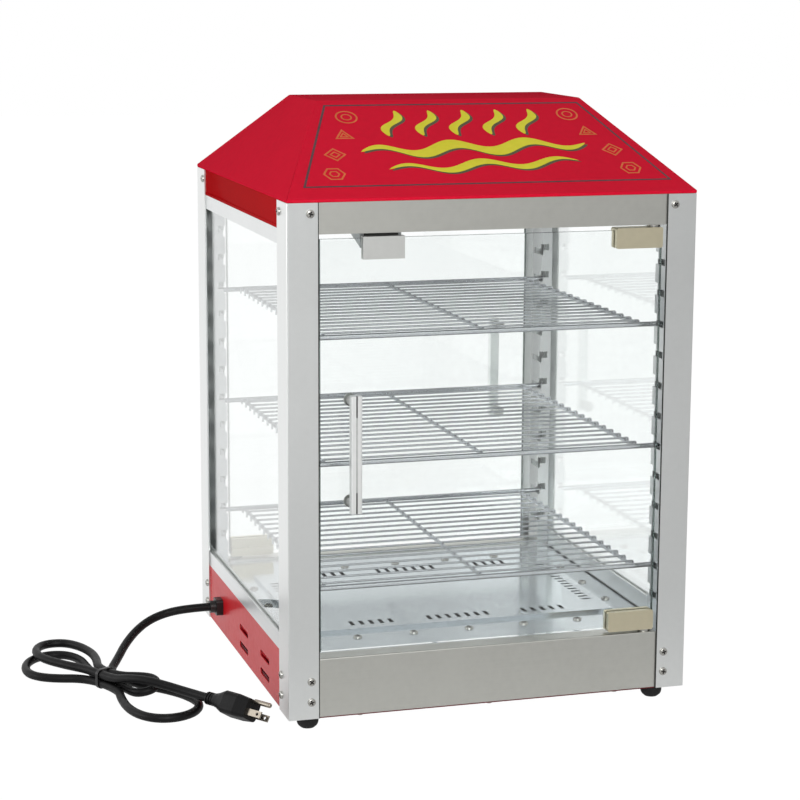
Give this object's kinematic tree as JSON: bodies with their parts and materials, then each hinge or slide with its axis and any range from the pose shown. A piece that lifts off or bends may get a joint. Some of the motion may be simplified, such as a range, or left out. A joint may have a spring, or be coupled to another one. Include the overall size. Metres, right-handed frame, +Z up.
{
  "type": "pass-through warmer merchandiser",
  "caption": "Countertop glass merchandiser with a hipped roof, glass doors front and rear, notched uprights holding wire shelves, a slotted heated floor and a tied supply cord.",
  "frame": {"origin": "on the floor under the middle of the cabinet", "axes": "+Z up, -Y towards the customer's door, +X to the right seen from that door"},
  "size_m": [0.6249, 0.428, 0.5841],
  "materials": {
    "post_steel": "satin",
    "stainless": "brushed",
    "red_paint": "gloss",
    "galvanised": "matt",
    "screw_steel": "bright",
    "wire_chrome": "bright",
    "aluminium_rail": "satin",
    "hinge_metal": "satin",
    "clear_glass": "clear",
    "seal_grey": "matt",
    "black_rubber": "matt",
    "black_plastic": "satin",
    "rocker_red": "gloss",
    "cord_black": "satin",
    "brass_blades": "bright",
    "element_sheath": "dark oxide"
  },
  "bodies": {
    "cabinet": {"post_front_left": "post_steel", "post_front_right": "post_steel", "post_rear_left": "post_steel", "post_rear_right": "post_steel", "base_fascia_front": "stainless", "base_fascia_rear": "stainless", "header_front": "stainless", "header_rear": "stainless", "upright_front_left": "stainless", "upright_front_right": "stainless", "upright_rear_left": "stainless", "upright_rear_right": "stainless", "floor_pan": "stainless", "deck_plate": "stainless", "ceiling_panel": "stainless", "catch_brackets": "stainless", "base_side_panel_left": "red_paint", "base_side_panel_right": "red_paint", "roof_shell": "red_paint", "bottom_pan": "galvanised", "heater_box": "galvanised", "element_supports": "galvanised", "post_screws": "screw_steel", "floor_screws": "screw_steel", "base_edge_screws": "screw_steel", "glass_channels": "aluminium_rail", "side_glass_left": "clear_glass", "side_glass_right": "clear_glass", "feet": "black_rubber", "glass_gaskets": "seal_grey", "strain_relief": "black_plastic", "cord_tie": "black_plastic", "thermostat_body": "black_plastic", "switch_housing": "black_plastic", "terminal_block": "black_plastic", "catch_magnets": "black_plastic", "hinge_bushings": "black_plastic", "cord_from_relief": "cord_black", "cord_hank": "cord_black", "plug_lead": "cord_black", "plug_body": "cord_black", "plug_prongs": "brass_blades", "heating_element": "element_sheath"},
    "front_door": {"front_door_glass": "clear_glass", "front_hinge_blocks": "hinge_metal", "front_handle_bar": "aluminium_rail", "front_handle_fixings": "screw_steel", "front_strike_plate": "stainless"},
    "rear_door": {"rear_door_glass": "clear_glass", "rear_hinge_blocks": "hinge_metal", "rear_handle_bar": "aluminium_rail", "rear_handle_fixings": "screw_steel", "rear_strike_plate": "stainless"},
    "shelf_lower": {"lower_shelf": "wire_chrome"},
    "shelf_middle": {"middle_shelf": "wire_chrome"},
    "shelf_upper": {"upper_shelf": "wire_chrome"},
    "knob": {"thermostat_knob": "black_plastic"},
    "rocker": {"switch_rocker": "rocker_red"}
  },
  "joints": [
    {"name": "front_door_hinge", "type": "hinge", "parent": "cabinet", "child": "front_door", "pos_m": [0.16, -0.1905, 0.27225], "axis": [0, 0, 1], "range_deg": [0, 100]},
    {"name": "rear_door_hinge", "type": "hinge", "parent": "cabinet", "child": "rear_door", "pos_m": [-0.16, 0.1905, 0.27225], "axis": [0, 0, 1], "range_deg": [0, 100]},
    {"name": "lower_shelf_slide", "type": "slide", "parent": "cabinet", "child": "shelf_lower", "axis": [0, 1, 0], "range_m": [-0.0047, 0.0047]},
    {"name": "middle_shelf_slide", "type": "slide", "parent": "cabinet", "child": "shelf_middle", "axis": [0, 1, 0], "range_m": [-0.0047, 0.0047]},
    {"name": "upper_shelf_slide", "type": "slide", "parent": "cabinet", "child": "shelf_upper", "axis": [0, 1, 0], "range_m": [-0.0047, 0.0047]},
    {"name": "thermostat_turn", "type": "hinge", "parent": "cabinet", "child": "knob", "pos_m": [0.07, 0.205, 0.044], "axis": [0, -1, 0], "range_deg": [0, 300]},
    {"name": "switch_press", "type": "hinge", "parent": "cabinet", "child": "rocker", "pos_m": [0.125, 0.199, 0.044], "axis": [1, 0, 0], "range_deg": [-16, 0]}
  ]
}
